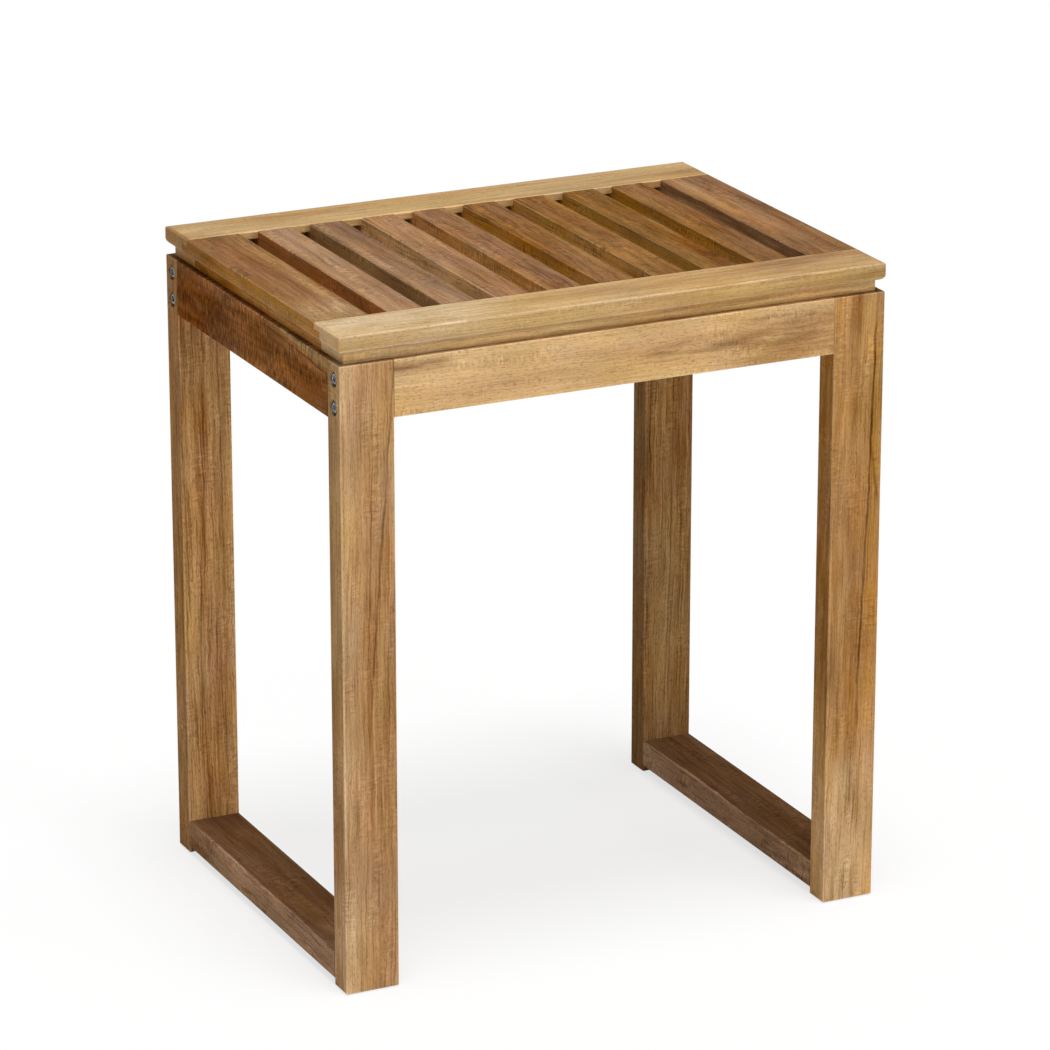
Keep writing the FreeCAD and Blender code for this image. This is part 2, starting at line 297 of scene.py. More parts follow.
LONG_APRONS = {
    "front_apron": Cut(seed=5, lightness=1.09, lean=0.6, streaks=(
        Streak(RED_HEART, at=-8, width=70, strength=0.5, middle=170, length=220),
        Streak(BROWN_HEART, at=-2, width=20, strength=0.5, middle=110, length=260, lean=0.01),
        Streak(BROWN_HEART, at=-3, width=6, strength=0.4, middle=60, length=130),
        Streak(BROWN_HEART, at=10, width=12, strength=0.35, middle=135, length=120),
        Streak(RED_HEART, at=13, width=11, strength=0.8, middle=-145, length=70),
        Streak(STRAW_SAPWOOD_AND_PAINTED_HIGHLIGHT, at=11, width=24, strength=0.45, middle=-40, length=190),
        Streak(STRAW_SAPWOOD_AND_PAINTED_HIGHLIGHT, at=-12, width=24, strength=0.4, middle=-80, length=260),
        # Painted shade on the top face, under the overhang of the seat rail's lip.
        Streak(DARK_RED_AND_PAINTED_SHADE, at=19.9, width=2.2, strength=1.8, straight=True),
    )),
    "back_apron": Cut(seed=6, lean=-0.5, streaks=(
        Streak(BROWN_HEART, at=-3, width=9, strength=0.6, middle=-60, length=280, lean=-0.01),
        Streak(STRAW_SAPWOOD_AND_PAINTED_HIGHLIGHT, at=12, width=12, strength=0.35, middle=30, length=320),
    )),
}
SIDE_APRONS = {
    "left_side_apron": Cut(seed=7, lightness=1.04, turn=20, lean=2, streaks=(
        Streak(DARK_RED_AND_PAINTED_SHADE, at=-8, width=80, strength=1, middle=130, length=240),
        Streak(DULL_SAPWOOD, at=22.7, width=11, strength=1.4, middle=-105, length=180, lean=0.049),
        Streak(DARK_VEIN_AND_PAINTED_SHADE, at=16.2, width=2.4, strength=0.8, middle=-85, length=170, lean=0.049),
        # Painted shade on the top face, under the overhang of the edge slat.
        Streak(DARK_VEIN_AND_PAINTED_SHADE, at=21, width=5, strength=1.2),
    )),
    "right_side_apron": Cut(seed=8, turn=25, lean=-2, streaks=(
        Streak(DULL_SAPWOOD, at=-21, width=10, strength=0.9, middle=80, length=200, lean=0.04),
    )),
}
STRETCHERS = {
    "left_stretcher": Cut(seed=9, lightness=0.88, lean=1, streaks=(
        Streak(GREY_SAPWOOD, at=-19.5, width=5, strength=2),
        Streak(GREY_SAPWOOD, at=0, width=120, strength=0.45, middle=-130, length=130),
        Streak(BROWN_HEART, at=-19.5, width=5, strength=0.7, middle=130, length=140),
    )),
    "right_stretcher": Cut(seed=10, lightness=0.78, lean=-1, streaks=(
        Streak(GREY_SAPWOOD, at=-19.5, width=5, strength=2),
    )),
}
SEAT_RAILS = {
    "front_seat_rail": Cut(seed=11, lightness=0.99, saturation=1.04, turn=60, lean=0.3, streaks=(
        Streak(AMBER, at=0, width=60, strength=0.4, middle=50, length=200),
        Streak(RED_HEART, at=12, width=70, strength=0.72, middle=200, length=240),
        # Paler wood at the left end of the top, partly a painted sheen.
        Streak(WHITE_SAPWOOD_AND_PAINTED_HIGHLIGHT, at=4, width=70, strength=0.9, middle=-165, length=210),
        Streak(GOLDEN_SAPWOOD_AND_PAINTED_LIGHT, at=0, width=160, strength=1.2, middle=-197, length=6),
        # Painted light on the strip that is set back under the lip, against its shade.
        Streak(BRIGHT_SAPWOOD_AND_PAINTED_LIGHT, at=-6.5, width=8, strength=1.3, side=THROUGH),
        # Painted shade along the lower edge of the lip, on its left part.
        Streak(DARK_VEIN_AND_PAINTED_SHADE, at=-2.2, width=1.6, strength=0.7, middle=-110, length=190, side=THROUGH),
        Streak(RED_HEART, at=-5, width=5, strength=0.5, middle=90, length=260, side=THROUGH),
        # Painted highlight along the upper edge of the lip.
        Streak(WHITE_SAPWOOD_AND_PAINTED_HIGHLIGHT, at=8.6, width=2.2, strength=0.6, side=THROUGH, straight=True),
    )),
    "back_seat_rail": Cut(seed=12, lightness=0.9, saturation=1.05, turn=60, lean=-0.3, streaks=(
        Streak(BRIGHT_SAPWOOD_AND_PAINTED_LIGHT, at=-19.5, width=6, strength=1.8),
        Streak(AMBER, at=8, width=18, strength=0.5, middle=-70, length=200),
        Streak(DULL_HONEY, at=0, width=160, strength=2, middle=-197, length=6),
        # Painted shade on the left end of the strip under the lip.
        Streak(HONEY_AND_PAINTED_SHADE, at=-6.5, width=9, strength=1.3, middle=-190, length=30, side=THROUGH),
    )),
}
EDGE_SLATS = {
    "left_edge_slat": Cut(seed=13, lightness=0.89, saturation=1.04, turn=40, streaks=(
        Streak(GOLDEN_SAPWOOD_AND_PAINTED_LIGHT, at=13, width=16, strength=0.6, middle=-40, length=260, lean=0.03),
        Streak(STRAW_SAPWOOD_AND_PAINTED_HIGHLIGHT, at=6, width=120, strength=0.65, middle=-140, length=190),
        Streak(RED_HEART, at=-6, width=34, strength=0.55, middle=70, length=190),
        Streak(HONEY_AND_PAINTED_SHADE, at=-19.5, width=4, strength=1.8),
        Streak(RUST_HEART, at=-19.5, width=4, strength=2, middle=130, length=190),
        # Painted light on the lower part of the lip and its rounded underside.
        Streak(GOLDEN_SAPWOOD_AND_PAINTED_LIGHT, at=1.5, width=7, strength=0.2, middle=-40, length=200, side=THROUGH),
        # Painted light on the strip that is set back under the lip, against its shade.
        Streak(PAINTED_LIGHT_AMBER, at=-7, width=10, strength=2, side=THROUGH),
        Streak(RUST_HEART, at=-7, width=10, strength=1.4, middle=120, length=220, side=THROUGH),
    )),
    "right_edge_slat": Cut(seed=14, turn=50, streaks=(
        Streak(AMBER, at=-10, width=14, strength=0.6, middle=30, length=260, lean=-0.03),
        Streak(RED_HEART, at=6, width=20, strength=0.5, middle=-50, length=160),
        Streak(HONEY_AND_PAINTED_SHADE, at=19.5, width=5, strength=1),
    )),
}

# The narrow slats have the seeds after this one, and each is turned by so many degrees more than the last.
SLAT_SEED = 20
SLAT_TURN = 15

# Lightness and saturation of the narrow slats, and the colour of their left sides, from the left. The first
# three are less saturated, and the first and third paler, partly as a painted sheen.
SLAT_TONES = (
    (1.1, 0.9, ORANGE_HEART),
    (0.98, 0.9, DULL_HONEY),
    (1.28, 0.94, TAN_HEART),
    (1.14, 0.98, HONEY_AND_PAINTED_SHADE),
    (0.96, 1.07, HONEY_AND_PAINTED_SHADE),
    (0.92, 1.1, TAN_HEART),
    (0.74, 1.14, TAN_HEART),
    (0.85, 1.08, HONEY_AND_PAINTED_SHADE),
)


def narrow_slat(number, lightness, saturation, side_colour):
    """Cut of one narrow slat. From one to the next the grain leans the other way and streaks change ends."""
    way = (-1) ** number
    streaks = (
        Streak(AMBER, at=-8, width=9, strength=0.5, middle=-40 * way, length=300, lean=0.02),
        Streak(RED_HEART, at=5, width=11, strength=0.4, middle=60 * way, length=240),
        Streak(side_colour, at=-12.4, width=1.8, strength=2, straight=True),
    )
    return Cut(SLAT_SEED + number, lightness, saturation, turn=SLAT_TURN * number, lean=way, streaks=streaks)


SEAT_SLATS = {
    f"seat_slat_{number}": narrow_slat(number, *tones) for number, tones in enumerate(SLAT_TONES, start=1)
}


# Settings


class AcaciaColours(bpy.types.PropertyGroup):
    """Colours of the six tones of acacia in the stool, each from its palest band to its darkest."""

    rail_pale: colour_setting("Rail, pale", "Palest bands of the seat rails", "#D8B57D")
    rail_dark: colour_setting("Rail, dark", "Darkest bands of the seat rails", "#AA814B")
    apron_pale: colour_setting("Long apron, pale", "Palest bands of the long aprons", "#EECB92")
    apron_dark: colour_setting("Long apron, dark", "Darkest bands of the long aprons", "#CB9A63")
    leg_pale: colour_setting("Leg, pale", "Palest bands of the legs", "#D1A775")
    leg_dark: colour_setting("Leg, dark", "Darkest bands of the legs", "#96683E")
    slat_pale: colour_setting("Slat, pale", "Palest bands of the slats", "#B1875A")
    slat_dark: colour_setting("Slat, dark", "Darkest bands of the slats", "#774D2D")
    side_pale: colour_setting("Side apron, pale", "Palest bands of the side aprons", "#AC7440")
    side_dark: colour_setting("Side apron, dark", "Darkest bands of the side aprons", "#683409")
    stretcher_pale: colour_setting("Stretcher, pale", "Palest bands of the stretchers", "#8C6644")
    stretcher_dark: colour_setting("Stretcher, dark", "Darkest bands of the stretchers", "#634429")


class AcaciaFigure(bpy.types.PropertyGroup):
    """Sizes of the figure in the wood."""

    band_width: length_setting("Band width", "A broad growth band", 14)
    band_length: length_setting("Band length", "How far a growth band runs before it fades", 400)
    vein_width: length_setting("Vein width", "A vein within the bands", 3.5)
    vein_length: length_setting("Vein length", "How far a vein runs before it fades", 120)
    fibre_width: length_setting("Fibre width", "A bundle of fibres within the veins", 0.9)
    fibre_length: length_setting("Fibre length", "How far a bundle of fibres shows", 30)
    line_width: length_setting("Line width", "Fine lines of late wood", 0.85)
    line_length: length_setting("Line length", "How far a line of late wood runs before it breaks", 70)
    pore_width: length_setting("Pore width", "Twice as wide as real pores, to show at all", 0.45)
    pore_length: length_setting("Pore length", "Dashes that the cut pores leave", 3)
    ripple_spacing: length_setting("Ripple spacing", "Faint ripples across the grain", 2.2)


class Studio(bpy.types.PropertyGroup):
    """Where the stool is seen from, and the light on it."""

    view_turn: angle_setting("View turn", "Camera round the stool, from straight in front", -25.74)
    view_rise: angle_setting("View rise", "Camera above the horizon", 18.82)
    view_distance: length_setting("View distance", "Camera from the point that it looks at", 3500)
    view_height: length_setting("View height", "Height of the point that the camera looks at", 251.8)
    view_side: length_setting("View side", "That point, to the right of the stool's middle", 2.9)
    lens: bpy.props.FloatProperty(
        name="Lens", description="Focal length in millimetres", unit="CAMERA", min=10, default=176.7
    )
    floor_width: length_setting("Floor width", "Side of the square floor", 40000)
    floor_colour: colour_setting("Floor colour", "Matt paint of the floor", "#E7E7E7")
    key_light: share_setting("Key light", "Share of the light from the front right", 0.38)
    top_light: share_setting("Top light", "Share of the light from above", 0.67)
    fill_light: share_setting("Fill light", "Share of the light from all round", 0.3)


# Nodes


def add(tree, kind, inputs=None, **settings):
    """Adds a node with its settings. Its inputs are plain values, or the sockets that feed them."""
    node = tree.nodes.new("ShaderNode" + kind)
    for name, value in settings.items():
        setattr(node, name, value)
    for socket, value in (inputs or {}).items():
        if isinstance(value, bpy.types.NodeSocket):
            tree.links.new(value, node.inputs[socket])
        else:
            node.inputs[socket].default_value = value
    return node


def calculate(tree, operation, *numbers):
    """Outcome of an operation on numbers."""
    return add(tree, "Math", dict(enumerate(numbers)), operation=operation).outputs[0]


def calculate_vector(tree, operation, *vectors):
    """Outcome of an operation on vectors."""
    return add(tree, "VectorMath", dict(enumerate(vectors)), operation=operation).outputs[0]


def distance(tree, value, mark):
    """How far a value lies from a mark, to either side of it."""
    return calculate(tree, "ABSOLUTE", calculate(tree, "SUBTRACT", value, mark))


def ramp(tree, value, span=(0, 1), to=(0, 1), curve="LINEAR"):
    """The value, led from one span of numbers to another one and kept within that."""
    start, end = span
    first, last = to
    inputs = {"Value": value, "From Min": start, "From Max": end, "To Min": first, "To Max": last}
    return add(tree, "MapRange", inputs, interpolation_type=curve).outputs[0]


def mix(tree, share, colour, other):
    """A colour, with a share of another one in it."""
    inputs = {FACTOR: share, COLOUR_A: colour, COLOUR_B: other}
    return add(tree, "Mix", inputs, data_type="RGBA").outputs[MIXED]


def bump(tree, height, strength, depth):
    """Facing of a surface that rises and falls with the height, by so many mm."""
    inputs = {"Height": height, "Strength": strength, "Distance": depth * MM}
    return add(tree, "Bump", inputs).outputs[0]


def cells(tree, space, length, width, depth=None, detail=2.0, in_colour=False):
    """Soft cells from 0 to 1, so many mm along, across and through, or a colour of three such levels."""
    scale = (1 / length, 1 / width, 1 / (depth or width))
    scaled = add(tree, "Mapping", {"Vector": space, "Scale": scale}).outputs[0]
    noise = add(tree, "TexNoise", {"Vector": scaled, "Scale": 1, "Detail": detail})
    return noise.outputs["Color" if in_colour else 0]


def part_space(tree):
    """Place in the part, in mm."""
    place = add(tree, "TexCoord").outputs["Object"]
    return add(tree, "Mapping", {"Vector": place, "Scale": (1 / MM, 1 / MM, 1 / MM)}).outputs[0]


def from_middle(tree, place, low, high):
    """A place in the part, in mm from the middle of a box with these corners."""
    inputs = {"Vector": place, "Location": (low + high) / 2, "Scale": (MM, MM, MM)}
    return add(tree, "Mapping", inputs, vector_type="TEXTURE").outputs[0]


def new_material(name):
    """An empty material with that name."""
    material = bpy.data.materials.new(name)
    material.use_nodes = True
    material.node_tree.nodes.clear()
    return material


def dress(node, material):
    """Gives a node of the frame one material all over."""
    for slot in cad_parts[node].material_slots:
        slot.material = material


# Figure of the wood


def in_board_order(tree, vector, axes):
    """A vector with its parts put in the order along, across, through."""
    parts = add(tree, "SeparateXYZ", {0: vector})
    return add(tree, "CombineXYZ", {i: parts.outputs[axis] for i, axis in enumerate(axes)}).outputs[0]


def board_space(tree, node):
    """Place in a board, in mm from its middle, and facing of its surface, both as along, across, through.

    The grain runs along the longest side of a board, and its wide face lies across.
    """
    low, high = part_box(node)
    size = high - low
    axes = sorted(range(3), key=lambda axis: -size[axis])
    where = add(tree, "TexCoord").outputs
    place = in_board_order(tree, from_middle(tree, where["Object"], low, high), axes)
    facing = in_board_order(tree, where["Normal"], axes)
    return place, facing


def bent_place(tree, place, cut):
    """Place in a board, pushed sideways as its grain bends, so that lines in it follow the grain."""
    seeded = add(tree, "Mapping", {"Vector": place, "Location": SEED_STEP * cut.seed}).outputs[0]
    for length, width, push in GRAIN_BENDS:
        drift = cells(tree, seeded, length, width, in_colour=True)
        swing = calculate_vector(tree, "SUBTRACT", drift, (MIDDLE_LEVEL, MIDDLE_LEVEL, MIDDLE_LEVEL))
        place = calculate_vector(tree, "MULTIPLY_ADD", swing, (0, push, push), place)
    return place


def grain_space(tree, place, cut):
    """Place among the fibres, in mm: along the grain, from one growth layer to the next, along a layer.

    The layers lie turned in the board, and the grain leans against its edges.
    """
    turned = add(tree, "Mapping", {
        "Vector": place,
        "Location": SEED_STEP * cut.seed,
        "Rotation": (math.radians(cut.turn), 0, math.radians(cut.lean)),
    })
    return turned.outputs[0]


def growth_level(tree, grain, figure, finish):
    """Tone of the wood from 0, pale, to 1, dark: broad bands of growth, veins in them, fibres in those."""
    scales = (
        (figure.band_length, figure.band_width, finish.bands),
        (figure.vein_length, figure.vein_width, finish.veins),
        (figure.fibre_length, figure.fibre_width, finish.fibres),
    )
    # The tone starts low enough for all that is added to bring it to the middle on average.
    level = MIDDLE_LEVEL * (1 - sum(swing for length, width, swing in scales))
    for length, width, swing in scales:
        bands = cells(tree, grain, length / MM, width / MM, depth=BAND_SPREAD * width / MM, detail=1)
        level = calculate(tree, "MULTIPLY_ADD", bands, swing, level)
    return level


def add_streak(tree, colour, place, breaks, streak):
    """The colour so far, with one streak of heartwood, sapwood, painted shade or painted highlight laid over
    it.

    A streak fades from its middle to its sides. Along the board it is whole for half its length, and fades
    from there to its ends.
    """
    parts = add(tree, "SeparateXYZ", {0: place}).outputs
    line = calculate(tree, "MULTIPLY_ADD", parts[ALONG], -streak.lean, parts[streak.side])
    aside = distance(tree, line, streak.at)
    across = ramp(tree, aside, span=(0, streak.width / 2), to=(streak.strength, 0), curve="SMOOTHSTEP")
    away = distance(tree, parts[ALONG], streak.middle)
    along = ramp(tree, away, span=(streak.length / 4, streak.length / 2), to=(1, 0), curve="SMOOTHSTEP")
    whole = calculate(tree, "MULTIPLY", across, along)
    share = calculate(tree, "MULTIPLY", whole, breaks)
    return mix(tree, share, colour, opaque(streak.colour))


def late_wood_lines(tree, grain, level, figure, strength):
    """Fine broken lines along the grain, strongest in dark wood, and 0 beside a line."""
    width = figure.line_width / MM
    lines = cells(tree, grain, figure.line_length / MM, width, depth=LINE_SPREAD * width, detail=1)
    shown = ramp(tree, lines, span=LINES_SHOW, to=(0, LINE_PEAK * strength))
    depth = ramp(tree, level, to=(PALE_WOOD_LINE, 1))
    return calculate(tree, "MULTIPLY", shown, depth)


def cut_pores(tree, grain, figure, strength):
    """Short dashes where the plane opened the pores, up to the given strength in a pore."""
    dashes = cells(tree, grain, figure.pore_length / MM, figure.pore_width / MM, detail=0)
    return ramp(tree, dashes, span=PORES_SHOW, to=(0, strength))


def cross_ripple(tree, grain, figure, finish):
    """Ripples across the grain, in patches, from 0 to 1 with the middle level where there are none."""
    spacing = finish.curl * figure.ripple_spacing / MM
    ripple = cells(tree, grain, RIPPLE_LENGTH * spacing, RIPPLE_WIDTH * spacing, detail=1)
    patches = cells(tree, grain, length=40, width=14)
    rise = (finish.curl_from, finish.curl_from + RIPPLE_RISE)
    shown = ramp(tree, patches, span=rise, to=(0, WHOLE_RIPPLE))
    swing = calculate(tree, "SUBTRACT", ripple, MIDDLE_LEVEL)
    return calculate(tree, "MULTIPLY_ADD", swing, shown, MIDDLE_LEVEL)


def streak_breaks(tree, grain):
    """How much of a streak shows, as it comes and goes along the grain."""
    gaps = cells(tree, grain, length=30, width=5)
    return ramp(tree, gaps, span=STREAKS_SHOW, to=(BROKEN_STREAK, 1))


def edges_and_ends(tree, facing):
    """Two shares from the way that a surface faces: 1 on a rounded edge, and 1 on end grain."""
    size = calculate_vector(tree, "ABSOLUTE", facing)
    parts = add(tree, "SeparateXYZ", {0: size}).outputs
    sides = calculate(tree, "MAXIMUM", parts[ACROSS], parts[THROUGH])
    flattest = calculate(tree, "MAXIMUM", sides, parts[ALONG])
    edge = ramp(tree, flattest, span=EDGE_FACING, to=(1, 0))
    end = ramp(tree, parts[ALONG], span=END_FACING)
    return edge, end


def soft_patches(tree, grain):
    """Soft patches in the wood: their hue, the strength of their colour, and their lightness from 0 to 1."""
    levels = add(tree, "SeparateColor", {0: cells(tree, grain, length=60, width=20, in_colour=True)}).outputs
    return ramp(tree, levels[0], to=PATCH_HUE), ramp(tree, levels[1], to=PATCH_SATURATION), levels[2]


def shaded(tree, lightness, layers):
    """The lightness, times a share for each layer, which is given for its level 0 and for its level 1."""
    for level, at_low, at_high in layers:
        share = ramp(tree, level, to=(at_low, at_high))
        lightness = calculate(tree, "MULTIPLY", share, lightness)
    return lightness


def toned(tree, colour, grain, ripple, facing, cut, finish):
    """The colour so far, toned by soft patches, the ripple, the oil in the end grain, and the edges: sanding,
    and partly a painted highlight.
    """
    edge, end = edges_and_ends(tree, facing)
    hue, patch_saturation, patch_level = soft_patches(tree, grain)
    saturation = calculate(tree, "MULTIPLY", patch_saturation, cut.saturation)
    # Edges lose colour and change lightness: sanding, and partly a painted highlight.
    sanded_and_highlit = ramp(tree, edge, to=(1, EDGE_SATURATION))
    lightness = shaded(tree, cut.lightness, (
        (patch_level, 1 - 2 * finish.patches, 1 + 2 * finish.patches),
        (ripple, 1 - 2 * finish.ripple, 1 + 2 * finish.ripple),
        (edge, 1, finish.edges),
        (end, 1, finish.end_grain),
    ))
    changed = add(tree, "HueSaturation", {
        "Color": colour,
        "Hue": hue,
        "Saturation": calculate(tree, "MULTIPLY", saturation, sanded_and_highlit),
        "Value": lightness,
    })
    return changed.outputs[0]


# Materials


def oiled_acacia(node, shades, figure, cut, finish):
    """Acacia, planed, sanded and oiled.

    Planing shows streaks of heartwood, fine late wood lines and short open pores along the grain, with faint
    ripples across it. Some streaks are painted shade and painted highlight at lips, recesses and edges.
    Sanding leaves the rounded edges duller and mostly paler, which partly serves as a painted highlight.
    Oil darkens the end grain and leaves a dull satin.
    """
    material = new_material("oiled_acacia_" + node)
    tree = material.node_tree
    place, facing = board_space(tree, node)
    bent = bent_place(tree, place, cut)
    grain = grain_space(tree, bent, cut)
    level = growth_level(tree, grain, figure, finish)
    lines = late_wood_lines(tree, grain, level, figure, finish.lines)
    pores = cut_pores(tree, grain, figure, finish.pores)
    ripple = cross_ripple(tree, grain, figure, finish)
    breaks = streak_breaks(tree, grain)

    pale, dark = [(*shade, 1) for shade in shades]
    colour = mix(tree, level, pale, dark)
    for streak in cut.streaks:
        colour = add_streak(tree, colour, place if streak.straight else bent, breaks, streak)
    for share in (lines, pores):
        colour = mix(tree, share, colour, opaque(DARK_VEIN_AND_PAINTED_SHADE))

    # The pores and the late wood lines lie lower, and shine less.
    sunk = calculate(tree, "ADD", pores, lines)
    relief = calculate(tree, "MULTIPLY_ADD", sunk, -PORE_DEPTH, ripple)
    surface = add(tree, "BsdfPrincipled", {
        "Base Color": toned(tree, colour, grain, ripple, facing, cut, finish),
        "Roughness": ramp(tree, sunk, to=(finish.roughness, finish.roughness + PORE_ROUGHNESS)),
        "Normal": bump(tree, relief, strength=0.35, depth=0.2),
        "IOR": 1.47,
        "Specular IOR Level": finish.shine,
    })
    add(tree, "OutputMaterial", {"Surface": surface.outputs[0]})
    return material


def turned_beech():
    """Beech dowel rod, turned and left raw: pale, even and flecked, with no shine."""
    material = new_material("turned_raw_beech")
    tree = material.node_tree
    flecks = cells(tree, part_space(tree), length=0.8, width=3, depth=0.8)
    share = ramp(tree, flecks, span=FLECKS_SHOW)
    surface = add(tree, "BsdfPrincipled", {
        "Base Color": mix(tree, share, opaque(RAW_BEECH), opaque(BEECH_FLECK)),
        "Roughness": 0.75,
        "Normal": bump(tree, flecks, strength=0.2, depth=0.1),
        "IOR": 1.5,
    })
    add(tree, "OutputMaterial", {"Surface": surface.outputs[0]})
    return material


def painted_shade_rims(tree, colour):
    """The colour so far, with painted shade and dark reflection on the rounded rims of the bolt heads."""
    low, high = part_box("frame_bolts")
    place = from_middle(tree, add(tree, "TexCoord").outputs["Object"], low, high)
    # The heads lie alike on all sides of the middle, so one head stands for all of them.
    head = (high - low) / 2 / MM - Vector((0, BOLT_HEAD_RADIUS, BOLT_HEAD_RADIUS))
    aside = calculate_vector(tree, "SUBTRACT", calculate_vector(tree, "ABSOLUTE", place), head)
    flat = calculate_vector(tree, "MULTIPLY", aside, (0, 1, 1))
    radius = add(tree, "VectorMath", {0: flat}, operation="LENGTH").outputs["Value"]
    return mix(tree, ramp(tree, radius, span=RIM_DARKENS), colour, opaque(PAINTED_SHADE_ZINC))


def zinc_plated_steel(name, with_painted_shade_rims=False):
    """Steel, cold headed and bright zinc plated: bluish grey, slightly cloudy, with soft highlights."""
    material = new_material(name)
    tree = material.node_tree
    place = part_space(tree)
    clouds = cells(tree, place, length=2.5, width=2.5)
    grit = cells(tree, place, length=0.3, width=0.3)
    brightness = ramp(tree, clouds, span=BRIGHTNESS_SHOWS)
    colour = mix(tree, brightness, opaque(CLOUDY_ZINC), opaque(BRIGHT_ZINC))
    # Painted shade and dark reflection on the rims of the bolt heads.
    if with_painted_shade_rims:
        colour = painted_shade_rims(tree, colour)
    surface = add(tree, "BsdfPrincipled", {
        "Base Color": colour,
        "Metallic": 1,
        "Roughness": ramp(tree, clouds, to=ZINC_ROUGHNESS),
        "Normal": bump(tree, grit, strength=0.15, depth=0.05),
    })
    add(tree, "OutputMaterial", {"Surface": surface.outputs[0]})
    return material


def finish_boards(context, boards, tone, finish):
    """Oiled acacia of one tone on each of these boards."""
    colours = context.scene.stool_colours
    shades = [getattr(colours, f"{tone}_{shade}") for shade in ("pale", "dark")]
    for node, cut in boards.items():
        dress(node, oiled_acacia(node, shades, context.scene.stool_figure, cut, finish))


# Studio


def seen_share(tree):
    """1 for a ray that shows a thing, straight or mirrored, and 0 for one that only carries its light."""
    ray = add(tree, "LightPath").outputs
    mirrored = calculate(tree, "MAXIMUM", ray["Is Glossy Ray"], ray["Is Transmission Ray"])
    return calculate(tree, "MAXIMUM", ray["Is Camera Ray"], mirrored)


def matt_floor_paint(studio):
    """Matt floor paint: it shows nearly white, keeps a soft shadow and throws back a plain pale light."""
    material = new_material("matt_floor_paint")
    tree = material.node_tree
    shadowed = (FLOOR_SHADOW_SHARE, FLOOR_SHADOW_SHARE, FLOOR_SHADOW_SHARE, 1)
    plain = add(tree, "BsdfDiffuse", {"Color": (*studio.floor_colour, 1)})
    thin = add(tree, "BsdfDiffuse", {"Color": shadowed})
    glow = add(tree, "Emission", {"Color": opaque(WHITE), "Strength": 1 - FLOOR_SHADOW_SHARE})
    shown = add(tree, "AddShader", {0: thin.outputs[0], 1: glow.outputs[0]})
    surface = add(tree, "MixShader", {0: seen_share(tree), 1: plain.outputs[0], 2: shown.outputs[0]})
    add(tree, "OutputMaterial", {"Surface": surface.outputs[0]})
    return material


def lay_floor(studio):
    """A square floor just under the feet."""
    half = studio.floor_width / 2
    below = -FLOOR_GAP * MM
    mesh = bpy.data.meshes.new("floor")
    corners = [(-half, -half, below), (half, -half, below), (half, half, below), (-half, half, below)]
    mesh.from_pydata(corners, [], [(0, 1, 2, 3)])
    mesh.materials.append(matt_floor_paint(studio))
    floor = bpy.data.objects.new("floor", mesh)
    bpy.context.scene.collection.objects.link(floor)


def light_surroundings(studio):
    """White surroundings that give a plain even light."""
    world = bpy.data.worlds.new("white_surroundings")
    world.use_nodes = True
    tree = world.node_tree
    tree.nodes.clear()
    strength = ramp(tree, seen_share(tree), to=(studio.fill_light, 1))
    light = add(tree, "Background", {"Color": opaque(WHITE), "Strength": strength})
    add(tree, "OutputWorld", {"Surface": light.outputs[0]})
    bpy.context.scene.world = world


def direction(turn, rise):
    """Unit vector from the stool, turned round it from straight in front and raised above the horizon."""
    return Vector((math.sin(turn) * math.cos(rise), -math.cos(turn) * math.cos(rise), math.sin(rise)))


def hang_softbox(name, share, turn, rise, width):
    """A wide soft light, seen at that turn from the front and that rise, all in degrees.

    It is far off, so that it falls evenly. A share of 1 shows a surface that faces it in its own colour.
    """
    lamp = bpy.data.lights.new(name, "SUN")
    lamp.energy = share * math.pi
    lamp.angle = math.radians(width)
    softbox = bpy.data.objects.new(name, lamp)
    towards = direction(math.radians(turn), math.radians(rise))
    softbox.rotation_euler = (-towards).to_track_quat("-Z", "Y").to_euler()
    bpy.context.scene.collection.objects.link(softbox)


def place_camera(studio):
    """The camera, at the photograph's viewing angle."""
    camera = bpy.data.cameras.new("camera")
    camera.sensor_width = SENSOR_WIDTH
    camera.lens = studio.lens
    camera.clip_end = studio.floor_width
    viewer = bpy.data.objects.new("camera", camera)
    towards = direction(studio.view_turn, studio.view_rise)
    viewer.location = Vector((studio.view_side, 0, studio.view_height)) + towards * studio.view_distance
    viewer.rotation_euler = (-towards).to_track_quat("-Z", "Y").to_euler()
    bpy.context.scene.collection.objects.link(viewer)
    bpy.context.scene.camera = viewer


# Operators


class STOOL_OT_legs(bpy.types.Operator):
    """Golden acacia on the four legs"""

    bl_idname = "stool.legs"
    bl_label = "Finish legs"

    def execute(self, context):
        calm = Finish(veins=0.75, fibres=0.9, lines=0.32, pores=0.35, patches=0.18, shine=0.005)
        lively = Finish(veins=1.1, fibres=1.25, lines=0.48, pores=0.5, ripple=0.14, shine=0.005)
        finish_boards(context, FRONT_LEGS, "leg", calm)
        finish_boards(context, BACK_LEGS, "leg", lively)
        return {"FINISHED"}


class STOOL_OT_long_aprons(bpy.types.Operator):
    """Golden acacia on the aprons under the long sides of the seat"""

    bl_idname = "stool.long_aprons"
    bl_label = "Finish long aprons"

    def execute(self, context):
        even = Finish(veins=0.35, fibres=0.6, lines=0.18, pores=0.36, edges=1.1)
        finish_boards(context, LONG_APRONS, "apron", even)
        return {"FINISHED"}


class STOOL_OT_side_aprons(bpy.types.Operator):
    """Dark acacia with a strong ripple on the aprons under the ends of the seat"""

    bl_idname = "stool.side_aprons"
    bl_label = "Finish side aprons"

    def execute(self, context):
        curly = Finish(
            bands=0.9, veins=0.5, fibres=0.6, lines=0.25, pores=0.35, ripple=0.32, curl=1.1, curl_from=0.32,
            patches=0.35, shine=0.004,
        )
        finish_boards(context, SIDE_APRONS, "side", curly)
        return {"FINISHED"}


